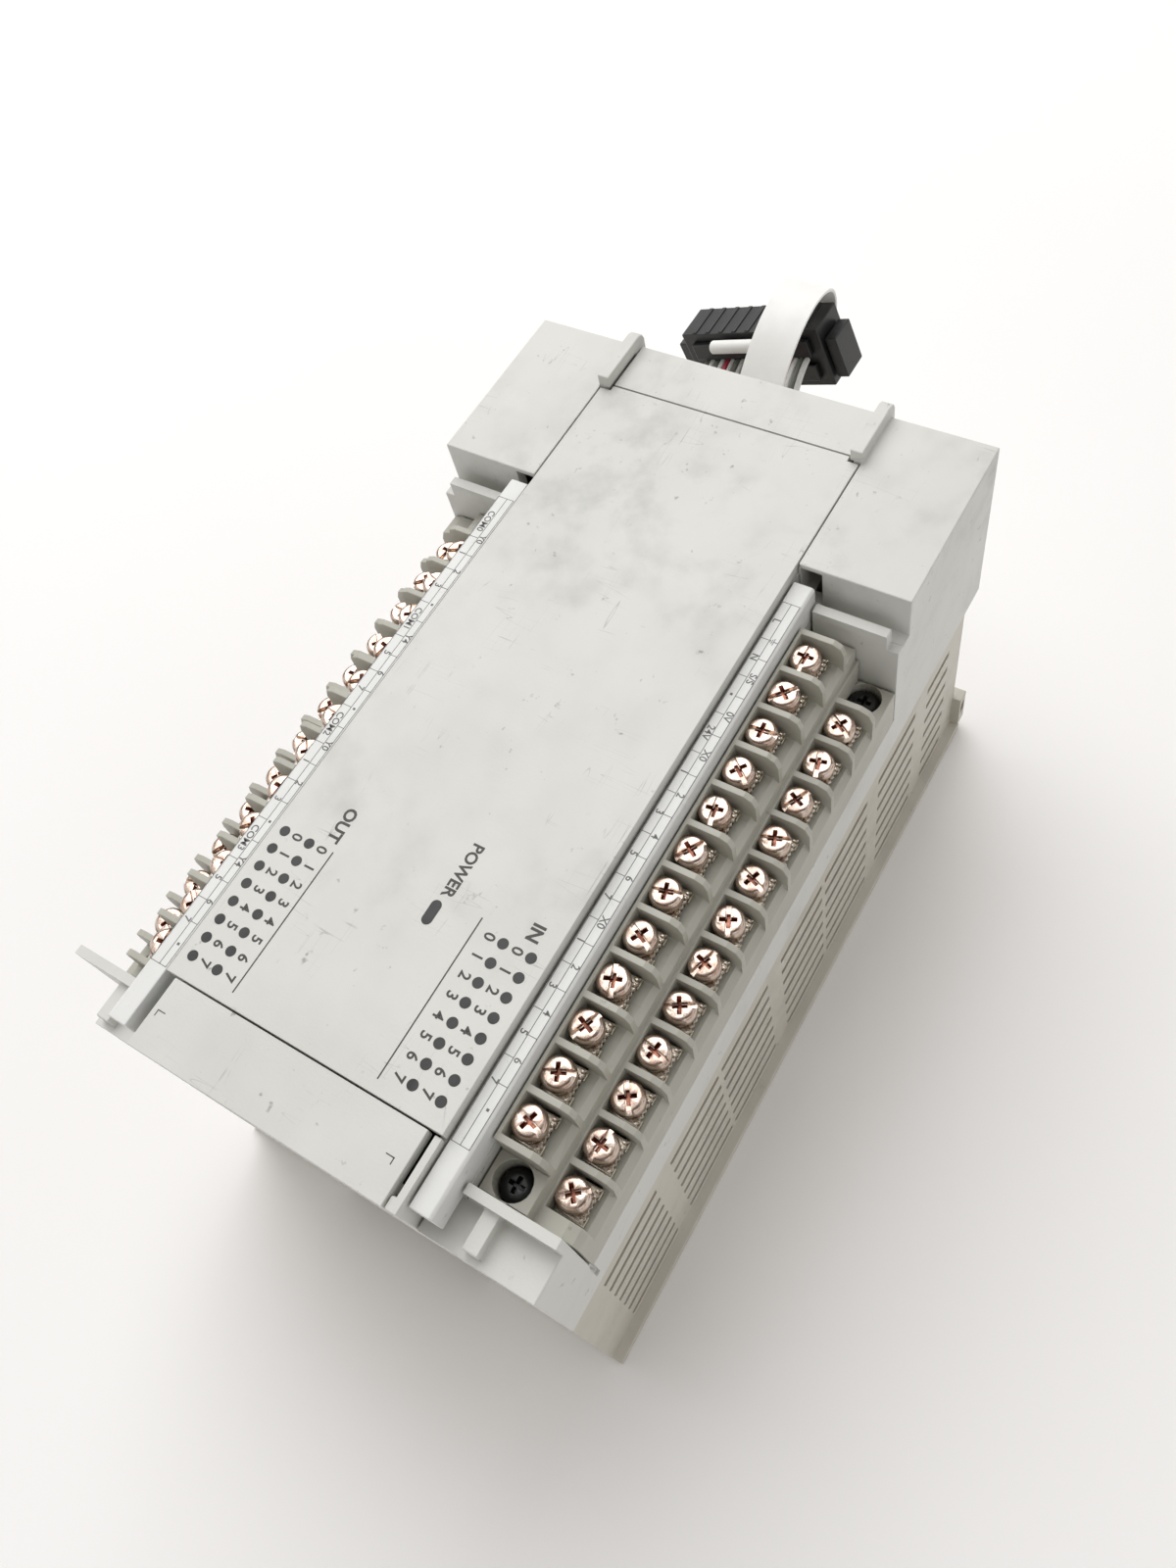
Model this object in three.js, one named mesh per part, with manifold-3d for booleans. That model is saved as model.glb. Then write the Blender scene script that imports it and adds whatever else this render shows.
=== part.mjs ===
// Programmable-controller expansion module, 32 points, in millimetres, +Z up.
// It lies on its back: the rail side is the plane z = 0, the indicator panel faces +Z.
// +X is the reading direction of the panel, +Y is the input side, -Y is the output side.
import * as THREE from "three";
import { mergeVertices } from "three/addons/utils/BufferGeometryUtils.js";
import Module from "manifold-3d";

const wasm = await Module();
wasm.setup();

// ---------------------------------------------------------------- driving dimensions
const LENGTH = 150; // along X
const WIDTH = 90; // along Y
const HEIGHT = 87; // to the indicator panel
const GAP = 0.3; // between neighbouring pieces
const WALL = 2; // moulded wall thickness
const PITCH = 7.62; // terminal spacing
const TERMINALS = 12; // screws in each row
const SIDES = [1, -1]; // input side, output side
const SEGMENTS = 6; // facets on a small round
const ROUND = 20; // facets on a hole that shows

const END = LENGTH / 2;
const HALF = WIDTH / 2;

// rear case
const WAIST = 43; // half width of the vented lower wall
const PARTING = 46; // joint between rear case and upper case
const FLANGE = 1.8; // thickness of the rear flange
const FLOOR = 2.4;
const RAIL_HALF = 17.9; // 35 mm rail, with clearance
const RAIL_DEPTH = 8.4;
const RAIL_LIP = 15.2; // half width left open by the fixed hook
const LIP_TOP = 6;
const TRAY = 20.2; // half width of the raised floor over the rail channel
const SLOT_HEIGHT = 1.7;
const SLOT_PITCH = 5.4;
const SLOT_FIRST = 3.9;
const SLOT_ROWS = 8;
const SLOT_SPANS = [
  [-68.2, -58.1],
  [-52.4, -35.8],
  [-30.8, -13.0],
  [-11.6, 4.6],
  [9.8, 26.8],
  [28.1, 44.8],
  [49.8, 66.6],
];
const COLUMN = { x: 68, y: 36.5, radius: 4.2, bore: 2 };
const LATCH = { narrow: 6, wide: 9, bottom: 0.5, step: 2.1, top: 4.3, tunnel: 11.3, roof: 6.4 };

// upper case
const DECK = 59.2; // shelf that carries the terminal blocks
const DECK_BOTTOM = 57.2;
const HOUSING = 25.4; // half width of the central housing
const HOUSING_INSIDE = 24.2;
const CAP_INNER = 25.7; // inner face of the two end caps
const CAP_END = -40.4; // end of the caps, towards +X
const RIB_INNER = 23.6;
const RIB_TOP = 89.4;
const PANEL_BOTTOM = 84.7;
const PANEL_START = -64.3;
const PANEL_FINISH = 63.5;
const PLATE = { from: 66.4, to: 68, top: 81.5 };
const FAR_PLATE = { from: -37.9, to: -36.1, top: 82, shoulder: 43 };
const LEDGE_TOP = 77.5; // floor at the +X corners
const LEDGE_OUT = 36.8; // the ledge of the output side stops here
const REST_TOP = 78.4; // ledge between cap and terminal block
const STEP_TOP = 78.7; // seat of the label bars

// terminal blocks
const BLOCK = { from: -35.8, to: 66.1, inner: 29.8, bottom: DECK + GAP };
const TIER = { high: 82, low: 73.5, edge: 37.8 };
const INNER_ROW = { y: 33.4, floor: 76.4, top: 81.4 };
const OUTER_ROW = { y: 41.4, floor: 67.9, top: 72.9 };
const FIRST_IN = [-28.2, -23.7]; // centres of the first terminals, inner row and outer row
const FIRST_OUT = [-24, -28.1]; // the output side is turned end for end
const DIVIDER = 1.1;
const BLOCK_SCREW = { radius: 2.6, bore: 2.95, innerY: 33.6, outerY: 40.8, fromEnd: 3.05 };
const INNER_SEAT = { z: 70, shank: 9 };
const OUTER_SEAT = { z: 63, shank: 3.2 };
const LABEL_BAR = { from: -38.4, to: 73.2, inner: 25.8, outer: 29.5, bottom: 79 };
const LABEL_TOP = { in: 85, out: 86.5 };

// indicators
const WINDOW_RADIUS = 0.8;
const LIGHT_PITCH = 3.28;
const LIGHT_FIRST = 36.9;
const LIGHT_ROWS = [17.9, 22.7, -23.1, -18.2];
const POWER_LIGHT = { x: 37.6, y: 5.7, half: 1.2, radius: 0.8 };

// boards
const BOARD = 1.6;
const POWER_BOARD_Z = 14;
const IO_BOARD_Z = 50.4;
const LIGHT_BOARD_Z = 78;
const POWER_BOARD_HOLES = corners(54, 34);
const CAPACITORS = [[-12, -8, 6.5, 20], [4, -8, 6.5, 20], [-12, 9, 5, 17]]; // x, y, radius, height

// ribbon cable and its plug
const CABLE = { y: -9.8, z: 66, width: 25, thickness: 1.3 };
const PLUG = { x: -100.5, y: -11.8, z: 69.1, depth: 8, length: 32, height: 13, roll: 0.33 };

// ---------------------------------------------------------------- finishes
function finish(colour, roughness, metalness = 0) {
  return new THREE.MeshStandardMaterial({ color: colour, roughness, metalness });
}
const CASE_ABS = finish(0xdcdcd6, 0.6);
const BLOCK_ABS = finish(0xb4b6ac, 0.6);
const LABEL_ABS = finish(0xecece8, 0.5);
const BLACK_PBT = finish(0x161616, 0.5);
const NICKEL = finish(0xd8cec4, 0.25, 1);
const TIN = finish(0xb9b6ae, 0.35, 1);
const FIBREGLASS = finish(0x1f5a35, 0.5);
const DARK_LENS = finish(0x26282a, 0.2);
const RELAY_BLUE = finish(0x2f3b46, 0.4);
const CORE_STEEL = finish(0x6f6a60, 0.5, 0.6);
const ALUMINIUM = finish(0xc2c4c6, 0.35, 1);
const SLEEVE = finish(0x22303c, 0.4);
const CABLE_PVC = finish(0xbfc0bc, 0.5);
const TAPE = finish(0xf4f4f2, 0.5);

// ---------------------------------------------------------------- solid helpers
function toSolid(geometry) {
  geometry.deleteAttribute("normal");
  geometry.deleteAttribute("uv");
  const merged = mergeVertices(geometry, 1e-4);
  return new wasm.Manifold(new wasm.Mesh({
    numProp: 3,
    vertProperties: new Float32Array(merged.attributes.position.array),
    triVerts: new Uint32Array(merged.index.array),
  }));
}

function toGeometry(solid) {
  const mesh = solid.getMesh();
  const geometry = new THREE.BufferGeometry();
  geometry.setAttribute("position", new THREE.BufferAttribute(mesh.vertProperties, 3));
  geometry.setIndex(new THREE.BufferAttribute(mesh.triVerts, 1));
  return geometry;
}

function block(x, y, z) {
  const [x0, x1] = [Math.min(...x), Math.max(...x)];
  const [y0, y1] = [Math.min(...y), Math.max(...y)];
  const [z0, z1] = [Math.min(...z), Math.max(...z)];
  const geometry = new THREE.BoxGeometry(x1 - x0, y1 - y0, z1 - z0);
  geometry.translate((x0 + x1) / 2, (y0 + y1) / 2, (z0 + z1) / 2);
  return toSolid(geometry);
}

// An outline drawn across one axis and pushed along it. Outlines are [y, z] along X,
// [x, z] along Y and [x, y] along Z.
const AXES = {
  X: (from) => new THREE.Matrix4().set(0, 0, 1, from, 1, 0, 0, 0, 0, 1, 0, 0, 0, 0, 0, 1),
  Y: (from, to) => new THREE.Matrix4().set(1, 0, 0, 0, 0, 0, -1, to, 0, 1, 0, 0, 0, 0, 0, 1),
  Z: (from) => new THREE.Matrix4().makeTranslation(0, 0, from),
};
function prism(axis, outline, from, to) {
  const shape = new THREE.Shape(outline.map(([u, v]) => new THREE.Vector2(u, v)));
  const geometry = new THREE.ExtrudeGeometry(shape, { depth: to - from, bevelEnabled: false });
  geometry.applyMatrix4(AXES[axis](from, to));
  return toSolid(geometry);
}

function disc(x, y, z, radius, segments = SEGMENTS) {
  const geometry = new THREE.CylinderGeometry(radius, radius, z[1] - z[0], segments);
  geometry.rotateX(Math.PI / 2);
  geometry.translate(x, y, (z[0] + z[1]) / 2);
  return toSolid(geometry);
}

// A turned piece: [radius, height] points from the axis out and back to the axis.
function turned(profile, x, y, z, segments = SEGMENTS) {
  const points = profile.map(([radius, height]) => new THREE.Vector2(radius, height));
  const geometry = new THREE.LatheGeometry(points, segments);
  geometry.rotateX(Math.PI / 2);
  geometry.translate(x, y, z);
  return toSolid(geometry);
}

// A closed strip through four-cornered sections.
function strip(sections) {
  const positions = sections.flat(2);
  const faces = [0, 2, 1, 0, 3, 2];
  for (let i = 0; i + 1 < sections.length; i += 1) {
    for (let k = 0; k < 4; k += 1) {
      const a = 4 * i + k;
      const b = 4 * i + ((k + 1) % 4);
      faces.push(a, b, b + 4, a, b + 4, a + 4);
    }
  }
  const last = 4 * (sections.length - 1);
  faces.push(last, last + 1, last + 2, last, last + 2, last + 3);
  const geometry = new THREE.BufferGeometry();
  geometry.setAttribute("position", new THREE.Float32BufferAttribute(positions, 3));
  geometry.setIndex(faces);
  return toSolid(geometry);
}

function join(solids) {
  return solids.reduce((whole, solid) => whole.add(solid));
}

function cut(base, tools) {
  return base.subtract(join(tools));
}

function mirrored(outline, side) {
  return outline.map(([y, z]) => [side * y, z]);
}

function terminalCentres(row) {
  return Array.from({ length: TERMINALS }, (_, index) => row.first + PITCH * index);
}

function corners(x, y) {
  return [[x, y], [x, -y], [-x, y], [-x, -y]];
}

// ---------------------------------------------------------------- rear case and rail latch
function rearCase() {
  const outside = [
    [-HALF, 0], [HALF, 0], [HALF, FLANGE], [WAIST, FLANGE + 0.8], [WAIST, PARTING - GAP],
    [-WAIST, PARTING - GAP], [-WAIST, FLANGE + 0.8], [-HALF, FLANGE],
  ];
  const inner = WAIST - WALL;
  const cavity = [
    [-inner, FLOOR], [-TRAY, FLOOR], [-TRAY, RAIL_DEPTH + WALL], [TRAY, RAIL_DEPTH + WALL],
    [TRAY, FLOOR], [inner, FLOOR], [inner, PARTING + 1], [-inner, PARTING + 1],
  ];
  const rail = [
    [-RAIL_HALF, -1], [RAIL_LIP, -1], [RAIL_LIP, LIP_TOP], [RAIL_HALF + GAP, LIP_TOP],
    [RAIL_HALF + GAP, RAIL_DEPTH], [-RAIL_HALF, RAIL_DEPTH],
  ];
  const shell = prism("X", outside, -END, END)
    .subtract(prism("X", cavity, -END + WALL, END - WALL))
    .subtract(prism("X", rail, -END - 1, END + 1));
  const columns = corners(COLUMN.x, COLUMN.y).map(([x, y]) =>
    disc(x, y, [FLOOR - 1, PARTING - GAP], COLUMN.radius));
  const tunnel = block([-LATCH.tunnel, LATCH.tunnel], [-inner - 1, -RAIL_HALF], [1, LATCH.roof]);
  const ear = block([-END - 2, -END + 1], [HALF - 4, HALF], [2.5, 12]);
  const bosses = POWER_BOARD_HOLES.map(([x, y]) => disc(x, y, [FLOOR - 1, POWER_BOARD_Z - 0.2], 3));
  const body = join([shell, ...columns, ...bosses, tunnel, ear]);

  const bores = corners(COLUMN.x, COLUMN.y).flatMap(([x, y]) => [
    disc(x, y, [-1, 3.2], 3.2),
    disc(x, y, [3, PARTING + 1], COLUMN.bore),
  ]);
  bores.push(...POWER_BOARD_HOLES.map(([x, y]) => disc(x, y, [4, POWER_BOARD_Z], 1.6)));
  const latchWay = [
    block([-LATCH.narrow - GAP, LATCH.narrow + GAP], [-HALF - 1, -RAIL_LIP], [-1, LATCH.step + 0.5]),
    block([-LATCH.wide - GAP, LATCH.wide + GAP], [-HALF - 1, -RAIL_LIP],
      [LATCH.step - GAP, LATCH.top + GAP]),
  ];
  const earRecess = block([-END - 1.4, -END + 0.2], [HALF - 1.6, HALF + 1], [5.8, 9.6]);
  return cut(body, [...bores, ...latchWay, earRecess, ...ventSlots()]);
}

function ventSlots() {
  const slots = [];
  for (const side of SIDES) {
    for (const span of SLOT_SPANS) {
      for (let row = 0; row < SLOT_ROWS; row += 1) {
        const z = SLOT_FIRST + SLOT_PITCH * row;
        const height = [z - SLOT_HEIGHT / 2, z + SLOT_HEIGHT / 2];
        slots.push(block(span, [side * (WAIST - WALL - 0.5), side * (WAIST + 1)], height));
      }
    }
  }
  return slots;
}

function railLatch() {
  const outer = -HALF + 0.3;
  const narrow = block([-LATCH.narrow, LATCH.narrow], [outer, -RAIL_LIP - 3],
    [LATCH.bottom, LATCH.step + 0.5]);
  const wide = block([-LATCH.wide, LATCH.wide], [outer, -RAIL_HALF - 0.4], [LATCH.step, LATCH.top]);
  const nose = prism("X", [
    [-RAIL_HALF - 1, LATCH.bottom], [-RAIL_LIP - 1.2, LATCH.bottom], [-RAIL_LIP, 2.4],
    [-RAIL_LIP, LATCH.top], [-RAIL_HALF - 1, LATCH.top],
  ], -LATCH.narrow, LATCH.narrow);
  const toolHole = block([-2.6, 2.6], [outer + 1.2, outer + 3.2], [0, LATCH.top + 1]);
  return cut(join([narrow, wide, nose]), [toolHole]);
}

function caseScrew([x, y]) {
  return turned([[0, 0], [2.8, 0], [2.8, 2], [1.3, 2], [1.3, 52], [0, 52]], x, y, 1);
}

// ---------------------------------------------------------------- upper case
function upperCase() {
  const skirt = prism("X", [
    [-WAIST - 0.2, PARTING], [WAIST + 0.2, PARTING], [HALF, PARTING + 4], [HALF, DECK],
    [-HALF, DECK], [-HALF, PARTING + 4],
  ], -END, END);
  const skirtCavity = prism("X", [
    [-WAIST + WALL, PARTING - 1], [WAIST - WALL, PARTING - 1], [HALF - WALL, PARTING + 4.4],
    [HALF - WALL, DECK_BOTTOM], [-HALF + WALL, DECK_BOTTOM], [-HALF + WALL, PARTING + 4.4],
  ], -END + WALL, END - WALL);
  const housing = block([-END, END], [-HOUSING, HOUSING], [DECK - 1, PANEL_BOTTOM - GAP]);
  const solids = [skirt.subtract(skirtCavity), housing];
  const hollows = [
    block([-END + WALL, END - WALL], [-HOUSING_INSIDE, HOUSING_INSIDE], [DECK_BOTTOM - 1, HEIGHT]),
    cablePort(),
    socketWindow(),
  ];
  for (const side of SIDES) {
    const y = (from, to) => [side * from, side * to];
    const ribSpan = y(RIB_INNER, CAP_INNER + 0.2);
    const ledgeEdge = side > 0 ? HALF : LEDGE_OUT;
    const farPlate = [FAR_PLATE.from, FAR_PLATE.to];
    solids.push(
      block([-END, CAP_END], y(CAP_INNER, HALF), [DECK - 1, HEIGHT]),
      block([CAP_END - 1, -37.5], y(31, HALF), [DECK - 1, REST_TOP]),
      block([CAP_END, PLATE.from], y(HOUSING - 1, LABEL_BAR.outer), [DECK - 1, STEP_TOP]),
      block([PLATE.from, PLATE.to], y(HOUSING - 1, LABEL_BAR.outer), [DECK - 1, STEP_TOP]),
      block([PLATE.from, PLATE.to], y(LABEL_BAR.outer + 0.4, HALF), [DECK - 1, PLATE.top]),
      block(farPlate, y(LABEL_BAR.outer + 0.4, FAR_PLATE.shoulder), [DECK - 1, FAR_PLATE.top]),
      block(farPlate, y(FAR_PLATE.shoulder - 1, HALF), [DECK - 1, STEP_TOP]),
      block([PLATE.to - 0.5, END], y(CAP_INNER, ledgeEdge), [DECK - 1, LEDGE_TOP]),
      block([PLATE.to - 0.5, 74], y(33.3, 35.7), [LEDGE_TOP - 0.5, 80]),
      block([-END - 1.5, PANEL_START + 0.8], y(RIB_INNER, HOUSING), [82, RIB_TOP - 2.6]),
      prism("Y", guideRib(), Math.min(...ribSpan), Math.max(...ribSpan)),
      block([-END, CAP_END], y(HOUSING - 1, CAP_INNER + 1), [DECK - 1, PANEL_BOTTOM - GAP]),
    );
    hollows.push(
      block([-END + WALL, CAP_END - WALL], y(CAP_INNER + 1.8, HALF - WALL),
        [DECK_BOTTOM - 1, HEIGHT - WALL]),
      block([PLATE.to + WALL, END - WALL], y(CAP_INNER + 1.8, ledgeEdge - WALL),
        [DECK_BOTTOM - 1, LEDGE_TOP - WALL]),
      block([CAP_END - 5, CAP_END + 1], y(CAP_INNER + 0.2, LABEL_BAR.outer + 0.2),
        [STEP_TOP + 0.2, HEIGHT - 1]),
      block([-33, 62], y(32, 40), [DECK_BOTTOM - 1, DECK + 1]),
      block([-0.4, 0.4].map((x) => x + 66.3), y(HALF - 0.6, HALF + 1), [53.5, DECK + 1]),
    );
  }
  hollows.push(
    block([PANEL_FINISH, END + 1], [-CAP_INNER - 0.1, -RIB_INNER + 0.3], [75, HEIGHT + 1]),
  );
  const rail = block([PANEL_FINISH + 0.3, END], [RIB_INNER, HOUSING], [80, HEIGHT - 0.6]);
  const columns = corners(COLUMN.x, COLUMN.y).map(([x, y]) =>
    disc(x, y, [PARTING, x < 0 ? HEIGHT - 1 : DECK - 0.2], 3.2));
  const bores = corners(COLUMN.x, COLUMN.y).map(([x, y]) => disc(x, y, [PARTING - 1, 54.5], 1.6));
  return cut(cut(join([...solids, rail]), hollows).add(join(columns)), bores);
}

function guideRib() {
  const end = -END - 1.5;
  return [
    [end, 83], [PANEL_START + 0.8, 83], [PANEL_START + 0.8, RIB_TOP], [end + 1.6, RIB_TOP],
    [end + 0.5, RIB_TOP - 0.5], [end, RIB_TOP - 1.6],
  ];
}

function cablePort() {
  return block([-END - 1, -END + WALL + 1], [CABLE.y - 13.3, CABLE.y + 13.3], [60.5, 73]);
}

function socketWindow() {
  return block([END - WALL - 1, END + 1], [-19, 19], [61, 79.5]);
}

function frontPanel() {
  const plate = block([PANEL_START, PANEL_FINISH], [-HOUSING, HOUSING], [PANEL_BOTTOM, HEIGHT]);
  const lip = HOUSING_INSIDE - GAP;
  const rims = SIDES.map((side) =>
    block([PANEL_START + 3, 30], [side * lip, side * (lip - 1.2)], [82, PANEL_BOTTOM + 0.5]));
  const windows = lightPlaces().map(([x, y]) =>
    disc(x, y, [PANEL_BOTTOM - 1, HEIGHT + 1], WINDOW_RADIUS));
  const ribNotches = SIDES.map((side) =>
    block([PANEL_START - 1, PANEL_START + 1.1], [side * (RIB_INNER - GAP), side * HALF],
      [82, HEIGHT + 1]));
  return cut(join([plate, ...rims]), [
    ...windows, ...ribNotches, powerOutline(0, PANEL_BOTTOM - 1, HEIGHT + 1),
  ]);
}

function lightPlaces() {
  const places = [];
  for (const y of LIGHT_ROWS) {
    for (let index = 0; index < 8; index += 1) {
      places.push([LIGHT_FIRST + LIGHT_PITCH * index, y]);
    }
  }
  return places;
}

// The power window is a stadium: two half rounds with straight sides between them.
function powerOutline(shrink, from, to) {
  const { x, y, half, radius } = POWER_LIGHT;
  const r = radius - shrink;
  const outline = [];
  for (let step = 0; step <= 4; step += 1) {
    const angle = -Math.PI / 2 + (Math.PI * step) / 4;
    outline.push([x + half + r * Math.cos(angle), y + r * Math.sin(angle)]);
  }
  for (let step = 0; step <= 4; step += 1) {
    const angle = Math.PI / 2 + (Math.PI * step) / 4;
    outline.push([x - half + r * Math.cos(angle), y + r * Math.sin(angle)]);
  }
  return prism("Z", outline, from, to);
}

// ---------------------------------------------------------------- covers at the two ends
function coverLid(x, half, skirtBottom) {
  const [inner, outer] = x;
  const top = block(x, [-half, half], [PANEL_BOTTOM, HEIGHT]);
  const towardsMiddle = Math.sign(inner - outer);
  const legX = outer + towardsMiddle * (WALL + GAP);
  const legs = [-half + 3, half - 3].map((y) =>
    block([legX, legX + towardsMiddle * 1.6], [y - 3, y + 3], [skirtBottom, PANEL_BOTTOM + 0.5]));
  return join([top, ...legs]);
}

// ---------------------------------------------------------------- label bars
function labelBar(side) {
  const { from, to, inner, outer, bottom } = LABEL_BAR;
  const top = side > 0 ? LABEL_TOP.in : LABEL_TOP.out;
  const outline = [
    [inner, bottom], [outer, bottom], [outer, top - 0.4], [outer - 0.4, top], [inner, top],
  ];
  return prism("X", mirrored(outline, side), from, to);
}

// ---------------------------------------------------------------- terminal blocks
function rowsOf(side) {
  const [inner, outer] = side > 0 ? FIRST_IN : FIRST_OUT;
  return [{ first: inner, ...INNER_ROW }, { first: outer, ...OUTER_ROW }];
}

// The upper screw stands at the +X end of the input block and the -X end of the output block.
function screwPlaces(side) {
  const { innerY, outerY, fromEnd } = BLOCK_SCREW;
  const ends = [BLOCK.to - fromEnd, BLOCK.from + fromEnd];
  const [innerX, outerX] = side > 0 ? ends : ends.reverse();
  return [[innerX, side * innerY], [outerX, side * outerY]];
}

// Past the last divider of a row the tier is open down to its floor.
function clearedEnd(row, end, y) {
  const centres = terminalCentres(row);
  const past = (PITCH + DIVIDER) / 2;
  const x = end > 0
    ? [centres[TERMINALS - 1] + past, BLOCK.to + 1]
    : [BLOCK.from - 1, centres[0] - past];
  return block(x, y, [row.floor, 90]);
}

function terminalBlock(side) {
  const { from, to, inner, bottom } = BLOCK;
  const [upper, lower] = rowsOf(side);
  const bodyOutline = [
    [inner, bottom], [HALF, bottom], [HALF, 71], [HALF - 0.7, 72.8], [HALF - 2.4, TIER.low],
    [TIER.edge, TIER.low], [TIER.edge, 79.6], [TIER.edge - 0.6, 81.3], [TIER.edge - 2, TIER.high],
    [inner, TIER.high],
  ];
  const highPocket = [
    [30.4, 90], [30.4, INNER_ROW.floor], [36.8, INNER_ROW.floor], [TIER.edge + 0.01, 75.4],
    [TIER.edge + 0.01, 90],
  ];
  const lowPocket = [
    [TIER.edge + 0.6, 90], [TIER.edge + 0.6, OUTER_ROW.floor], [HALF - 1, OUTER_ROW.floor],
    [HALF + 1, 64.6], [HALF + 1, 90],
  ];
  const half = (PITCH - DIVIDER) / 2;
  const pocketRow = (row, outline) => terminalCentres(row).map((x) =>
    prism("X", mirrored(outline, side), x - half, x + half));
  const pockets = [...pocketRow(upper, highPocket), ...pocketRow(lower, lowPocket)];
  const highY = [side * (inner - 1), side * (TIER.edge + 1)];
  const lowY = [side * (TIER.edge + 0.6), side * (HALF + 1)];
  const ends = [
    clearedEnd(upper, 1, highY), clearedEnd(upper, -1, highY), clearedEnd(lower, -side, lowY),
  ];
  const hollowUnder = (row, margin, y, top) => {
    const centres = terminalCentres(row);
    return block([centres[0] - margin, centres[TERMINALS - 1] + margin],
      [side * (inner + 1.6), side * y], [bottom - 1, top]);
  };
  const hollows = [hollowUnder(upper, 3.2, 36.4, 73.6), hollowUnder(lower, 2.6, HALF - 2, 65)];
  const [upperScrew, lowerScrew] = screwPlaces(side);
  const bores = [
    disc(...upperScrew, [INNER_SEAT.z, upper.floor + 0.5], BLOCK_SCREW.bore, ROUND),
    disc(...lowerScrew, [OUTER_SEAT.z, lower.floor + 0.1], BLOCK_SCREW.bore, ROUND),
    disc(...upperScrew, [bottom - 1, INNER_SEAT.z + 1], 1.7),
    disc(...lowerScrew, [bottom - 1, OUTER_SEAT.z + 1], 1.7),
  ];
  const body = prism("X", mirrored(bodyOutline, side), from, to);
  return cut(body, [...pockets, ...ends, ...hollows, ...bores, ...tailSlots(side)]);
}

// A slot under each row lets the tails of the screws and plates pass through the floor.
function tailSlots(side) {
  return rowsOf(side).map((row) => {
    const centres = terminalCentres(row);
    return block([centres[0] - 1.6, centres[TERMINALS - 1] + 1.4],
      [side * (row.y - 2.1), side * (row.y + 1.4)], [row.floor - 4.4, row.floor]);
  });
}

// Twelve tails standing on one thin tie inside the hollow of the block, as a comb.
function tailComb(row, half, y, top) {
  const low = row.floor - 4;
  const centres = terminalCentres(row);
  const outline = [[centres[0] - half, low], [centres[TERMINALS - 1] + half, low]];
  for (const x of [...centres].reverse()) {
    outline.push([x + half, low + 0.6], [x + half, top], [x - half, top], [x - half, low + 0.6]);
  }
  const clean = outline.filter(([x, z], index) => index !== 2 && index !== outline.length - 1);
  return prism("Y", clean, Math.min(...y), Math.max(...y));
}

// A forked plate under each screw, with a tail down into the block.
function contactPlates(row, side) {
  const low = row.floor + 0.2;
  const y = (offset) => side * (row.y + offset);
  const plates = terminalCentres(row).map((x) => prism("Z", [
    [x - 2.9, y(-2.8)], [x + 2.9, y(-2.8)], [x + 2.9, y(2.7)], [x + 1.3, y(2.7)],
    [x + 1.3, y(-1.3)], [x - 1.3, y(-1.3)], [x - 1.3, y(2.7)], [x - 2.9, y(2.7)],
  ], low, low + 0.8));
  return join([...plates, tailComb(row, 0.4, [y(-1.8), y(-1.4)], low + 0.4)]);
}

// Each screw carries its captive square washer.
function terminalScrews(row, side) {
  const washer = row.floor + 1.2;
  const y = side * row.y;
  const screws = terminalCentres(row).flatMap((x) => [
    disc(x, y, [washer + 0.4, row.top], 2.6),
    block([x - 2.75, x + 2.75], [y - side * 1.9, y + side * 2.7], [washer, washer + 0.8]),
  ]);
  return join([...screws, tailComb(row, 1, [y - 0.9, y + 0.9], washer + 0.4)]);
}

function blockScrew([x, y], { z, shank }) {
  const { radius } = BLOCK_SCREW;
  const profile = [
    [0, -shank], [1.3, -shank], [1.3, 0.3], [radius, 0.3], [radius, 3.4], [radius - 0.6, 4], [0, 4],
  ];
  return turned(profile, x, y, z, 12);
}

// ---------------------------------------------------------------- boards and what they carry
function board(x, halfWidth, z, holes = []) {
  const plate = block(x, [-halfWidth, halfWidth], [z, z + BOARD]);
  if (holes.length === 0) {
    return plate;
  }
  return cut(plate, holes.map(([hx, hy]) => disc(hx, hy, [z - 1, z + 3], 1.7)));
}

function boardScrew([x, y]) {
  const z = POWER_BOARD_Z + BOARD + 0.2;
  return turned([[0, -8], [1.2, -8], [1.2, 0], [2.6, 0], [2.6, 1.6], [0, 1.6]], x, y, z);
}

// A moulded frame holds the upper board above the lower one.
function spacerFrame() {
  const low = POWER_BOARD_Z + BOARD + 0.2;
  const high = IO_BOARD_Z - 0.2;
  const [x, y] = [60, 26];
  const posts = corners(x, y).map(([px, py]) => block([px - 2, px + 2], [py - 2, py + 2], [low, high]));
  const rails = SIDES.flatMap((side) => [
    block([-x, x], [side * y - 1, side * y + 1], [high - 18, high - 15]),
    block([side * x - 1, side * x + 1], [-y, y], [high - 18, high - 15]),
  ]);
  return join([...posts, ...rails]);
}

function transformerCore() {
  const z = POWER_BOARD_Z + BOARD + 0.2;
  const frame = block([-54, -24], [-9, 9], [z, z + 24]);
  const windows = [[-49.5, -42.5], [-35.5, -28.5]].map((x) => block(x, [-10, 10], [z + 5, z + 19]));
  return cut(frame, windows);
}

function transformerWinding() {
  const z = POWER_BOARD_Z + BOARD + 0.2;
  const coil = block([-49.2, -28.8], [-14, 14], [z + 5.3, z + 18.7]);
  return coil.subtract(block([-42.8, -35.2], [-9.3, 9.3], [z, z + 25]));
}

function filterCapacitor([x, y, radius, height]) {
  const z = POWER_BOARD_Z + BOARD + 0.2;
  return disc(x, y, [z, z + height], radius, 12);
}

function powerHeatSink() {
  const z = POWER_BOARD_Z + BOARD + 0.2;
  const fins = [0, 4, 8, 12].map((step) => block([17, 40], [-12 + step, -10.6 + step], [z, z + 20]));
  return join([block([17, 40], [-12, 1.4], [z, z + 2]), ...fins]);
}

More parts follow.
